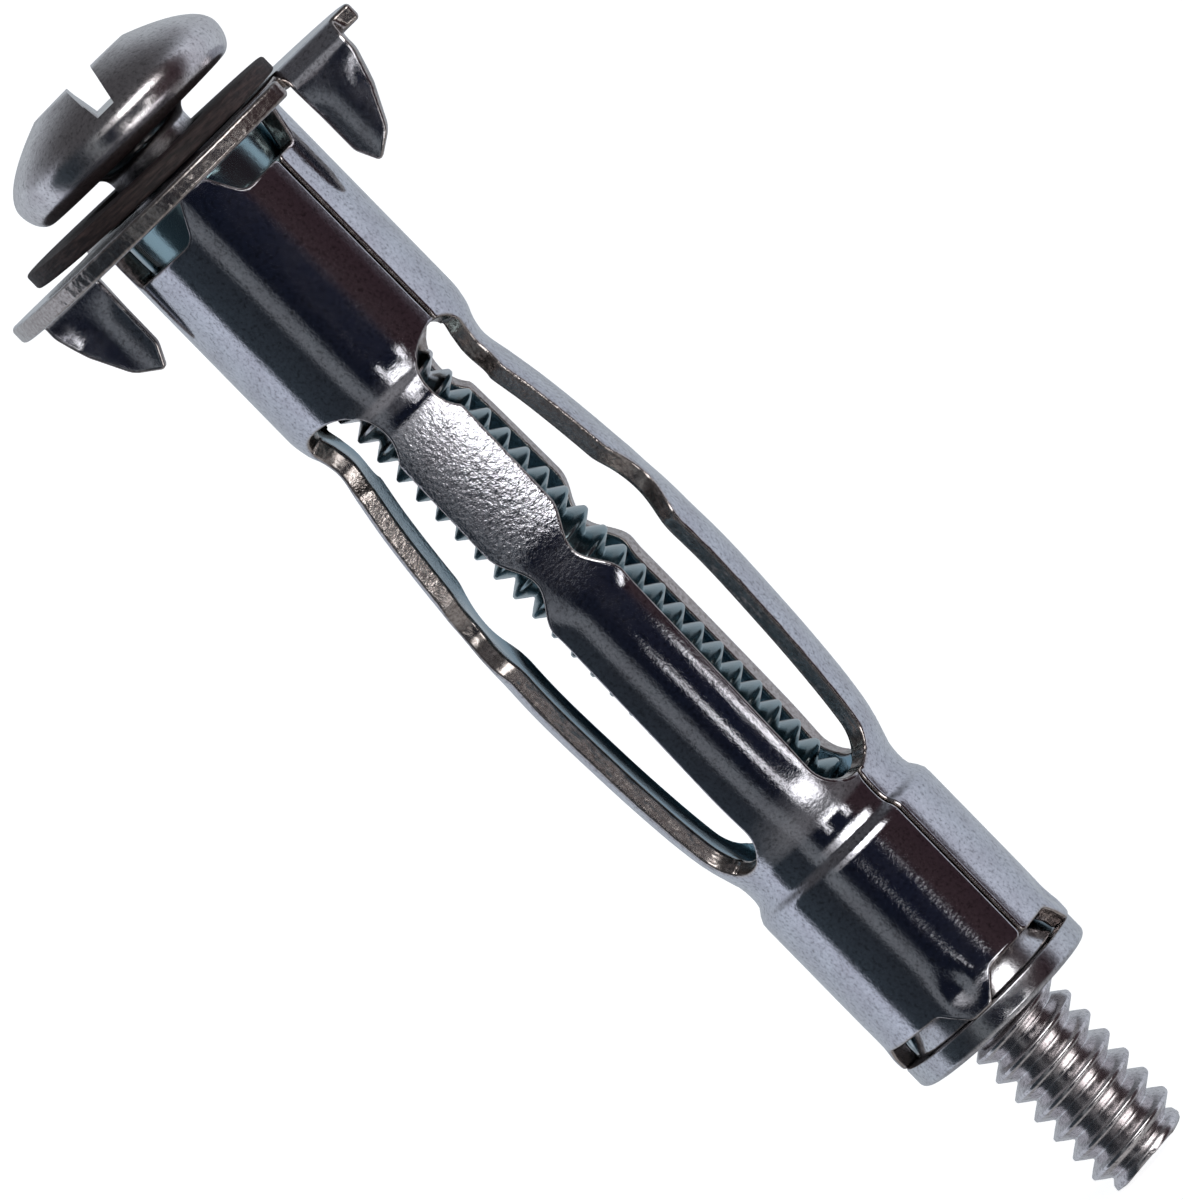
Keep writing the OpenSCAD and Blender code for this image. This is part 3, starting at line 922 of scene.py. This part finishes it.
finish_piece(build_barrel(), sleeve_zinc, "sleeve_zinc", "head_end", "sleeve_barrel", "neck_bends")
finish_piece(build_collar(), sleeve_zinc, "sleeve_zinc", "tail", "sleeve_collar", "root_bends")
for leg, leg_turn in LEGS.items():
    upper_piece, lower_piece = build_leg(leg, leg_turn)
    finish_piece(upper_piece, sleeve_zinc, "sleeve_zinc", None, f"leg_upper_{leg}")
    finish_piece(lower_piece, sleeve_zinc, "sleeve_zinc", None, f"waist_bend_{leg}", f"leg_lower_{leg}")
    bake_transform(upper_piece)
    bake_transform(lower_piece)
finish_piece(build_flange(), flange_zinc, "flange_zinc", "head_end", "prong_flange")
finish_piece(build_washer(), fibre, "fibre", "washer", "fibre_washer")
finish_piece(build_nut(), nut_zinc, "nut_zinc", "tail", "nut")
finish_piece(build_screw(), screw_zinc, "screw_zinc", "screw", "screw")

# ---- Floor, light and camera ----

AIM = Vector((0, 0, -16.7)) * MM
VIEW_TURN, VIEW_RISE, VIEW_ROLL = 9.0, 4.0, 44.4
DISTANCE = 0.42
BACK = Vector((math.sin(math.radians(VIEW_TURN)) * math.cos(math.radians(VIEW_RISE)),
               -math.cos(math.radians(VIEW_TURN)) * math.cos(math.radians(VIEW_RISE)),
               math.sin(math.radians(VIEW_RISE))))


def build_floor():
    """A wide pale floor, level with the screw's tip."""
    ring = [(12 * math.cos(t), 12 * math.sin(t), 0.0) for t in np.arange(64) / 64 * 2 * math.pi]
    floor = make_object("floor", [(x / MM, y / MM, TIP_Z - 0.05) for x, y, _ in ring], [tuple(range(64))])
    material, tree, shader = new_material("pale_floor")
    place = add(tree, "ShaderNodeTexCoord").outputs["Object"]
    speckle = noise(tree, place, 0.05, 2, 0.5)
    colour = ramp(tree, speckle, (0.3, (0.9, 0.9, 0.9)), (0.7, (0.93, 0.93, 0.93)))
    tree.links.new(colour, shader.inputs["Base Color"])
    shader.inputs["Roughness"].default_value = 0.9
    shader.inputs["Emission Color"].default_value = (1, 1, 1, 1)
    shader.inputs["Emission Strength"].default_value = 0.8
    floor.data.materials.append(material)
    floor.visible_glossy = False


def build_world():
    """Soft studio light: a white room that is dark on the camera's side, with a few strips of light."""
    world = bpy.data.worlds.new("studio")
    bpy.context.scene.world = world
    world.use_nodes = True
    tree = world.node_tree
    shader = tree.nodes["Background"]
    place = add(tree, "ShaderNodeTexCoord").outputs["Generated"]
    parts = add(tree, "ShaderNodeSeparateXYZ")
    tree.links.new(place, parts.inputs[0])
    turn = math_node(tree, "ARCTAN2", parts.outputs[0], math_node(tree, "MULTIPLY", parts.outputs[1], -1.0))
    turn = math_node(tree, "SUBTRACT", turn, math.radians(VIEW_TURN))
    share = math_node(tree, "ADD", math_node(tree, "DIVIDE", turn, 2 * math.pi), 0.5)
    around = ramp(
        tree, share,
        (0.0, (0.36, 0.39, 0.42)), (0.17, (0.42, 0.46, 0.52)), (0.25, (0.5, 0.54, 0.62)),
        (0.265, (0.03, 0.04, 0.05)), (0.385, (0.02, 0.024, 0.03)), (0.4, (0.14, 0.15, 0.16)),
        (0.43, (0.11, 0.12, 0.13)), (0.445, (0.006, 0.008, 0.015)),
        (0.57, (0.008, 0.01, 0.02)), (0.6, (0.035, 0.022, 0.025)), (0.69, (0.03, 0.018, 0.022)),
        (0.72, (0.08, 0.07, 0.08)), (0.74, (0.5, 0.53, 0.6)), (0.83, (0.42, 0.46, 0.52)),
        (1.0, (0.36, 0.39, 0.42)))
    height = parts.outputs[2]
    level = add(tree, "ShaderNodeMapRange", interpolation_type="SMOOTHSTEP")
    level.inputs["From Min"].default_value, level.inputs["From Max"].default_value = 0.9, 0.35
    tree.links.new(math_node(tree, "ABSOLUTE", height, 0.0), level.inputs["Value"])
    around = mix(tree, level.outputs[0], (0.06, 0.06, 0.065), around)
    rise = math_node(tree, "ADD", math_node(tree, "MULTIPLY", height, 0.5), 0.5)
    lamp = ramp(tree, rise, (0.555, 0.0), (0.61, 1.0), (0.77, 1.0), (0.82, 0.0))
    lamp_side = ramp(tree, share, (0.42, 0.0), (0.48, 0.14), (0.505, 0.3), (0.522, 1.0), (0.61, 1.0),
                     (0.64, 0.0))
    lamp = mix(tree, 1.0, lamp, lamp_side, "MULTIPLY")
    table = ramp(tree, rise, (0.0, 0.3), (0.1, 0.15), (0.22, 0.04), (0.32, 0.0))
    card = ramp(tree, rise, (0.18, 0.0), (0.22, 1.0), (0.27, 1.0), (0.31, 0.0))
    card_side = ramp(tree, share, (0.49, 0.0), (0.515, 1.0), (0.56, 1.0), (0.59, 0.0))
    card = mix(tree, 1.0, card, card_side, "MULTIPLY")
    strips = ramp(tree, rise, (0.29, 0.0), (0.31, 1.0), (0.415, 1.0), (0.43, 0.0))
    strip_side = ramp(tree, share, (0.498, 0.0), (0.501, 1.0), (0.505, 1.0), (0.508, 0.0),
                      (0.573, 0.0), (0.577, 1.0), (0.585, 1.0), (0.589, 0.0))
    strips = mix(tree, 1.0, strips, strip_side, "MULTIPLY")
    for light, power in ((lamp, 3.0), (table, 1.0), (card, 2.0), (strips, 2.0)):
        around = mix(tree, 1.0, around, mix(tree, 1.0, light, (power, power, power), "MULTIPLY"), "ADD")
    tree.links.new(around, shader.inputs["Color"])
    shader.inputs["Strength"].default_value = 1.25
    white = add(tree, "ShaderNodeBackground")
    white.inputs["Color"].default_value = (1, 1, 1, 1)
    white.inputs["Strength"].default_value = 1.0
    seen = add(tree, "ShaderNodeLightPath").outputs["Is Camera Ray"]
    choose = add(tree, "ShaderNodeMixShader")
    tree.links.new(seen, choose.inputs[0])
    tree.links.new(shader.outputs[0], choose.inputs[1])
    tree.links.new(white.outputs[0], choose.inputs[2])
    tree.links.new(choose.outputs[0], tree.nodes["World Output"].inputs["Surface"])


def build_camera():
    data = bpy.data.cameras.new("camera")
    data.lens = 436.6
    data.sensor_width = 36
    camera = bpy.data.objects.new("camera", data)
    bpy.context.scene.collection.objects.link(camera)
    side = Vector((0, 0, 1)).cross(BACK).normalized()
    camera.location = AIM - side * 0.25 * MM + BACK * DISTANCE
    camera.rotation_mode = "QUATERNION"
    roll = Quaternion((0, 0, 1), math.radians(-VIEW_ROLL))
    camera.rotation_quaternion = (-BACK).to_track_quat("-Z", "Y") @ roll
    data.clip_start, data.clip_end = 0.01, 40
    bpy.context.scene.camera = camera


build_floor()
build_world()
build_camera()
bpy.context.scene.view_settings.view_transform = "Standard"
